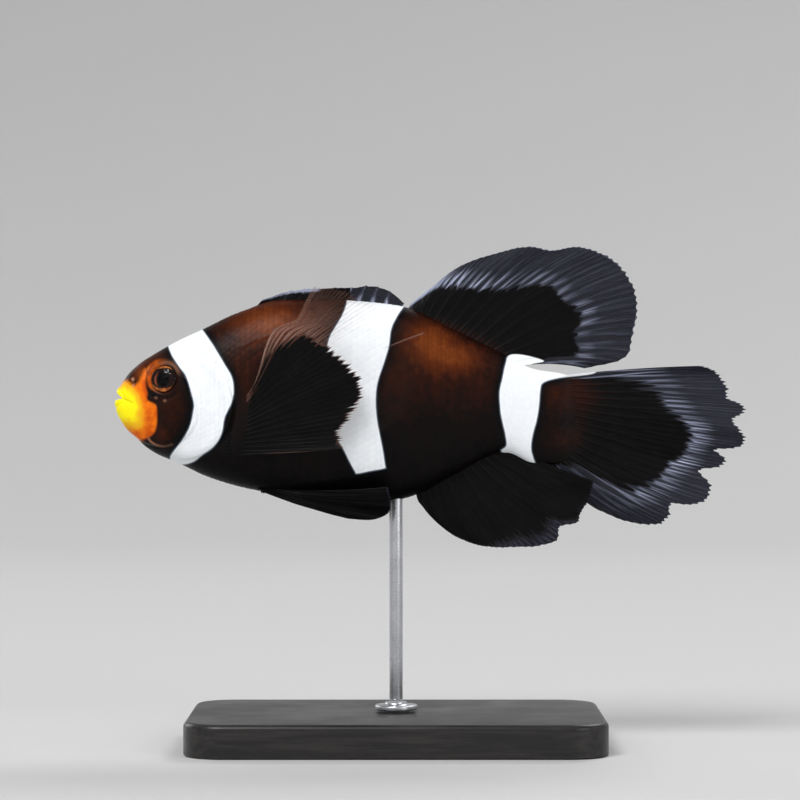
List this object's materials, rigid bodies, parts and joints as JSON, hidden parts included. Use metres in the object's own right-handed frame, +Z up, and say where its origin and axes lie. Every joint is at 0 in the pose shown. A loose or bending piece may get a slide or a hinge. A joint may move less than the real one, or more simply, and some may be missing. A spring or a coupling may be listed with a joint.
{
  "type": "clownfish model",
  "caption": "Life-size black clownfish with white bands and long wavy fins, swimming level on a slim rod above a flat base.",
  "frame": {"origin": "centre of the stand base's underside, directly below the rod", "axes": "+Z up, -X the way the fish swims, -Y the fish's left side"},
  "size_m": [0.0946, 0.038, 0.0748],
  "materials": {
    "skin": "satin, scaled, dark brown to black",
    "jaw_skin": "satin, yellow to orange",
    "band_skin": "satin, scaled, white",
    "fin": "satin, rayed, black with smoky clear margins",
    "eye": "glossy",
    "stand_base": "satin black lacquer",
    "stand_steel": "brushed"
  },
  "bodies": {
    "root": {"head": "skin", "lower_jaw": "jaw_skin", "gill_cover_left": "band_skin", "gill_cover_right": "band_skin", "eye_left": "eye", "eye_right": "eye", "trunk": "skin", "tail_stalk": "skin", "spiny_dorsal_fin": "fin", "soft_dorsal_fin": "fin", "anal_fin": "fin", "caudal_fin": "fin", "pectoral_fin_left": "fin", "pectoral_fin_right": "fin", "pelvic_fin_left": "fin", "pelvic_fin_right": "fin", "stand_base": "stand_base", "stand_flange": "stand_steel", "stand_rod": "stand_steel"}
  },
  "joints": []
}
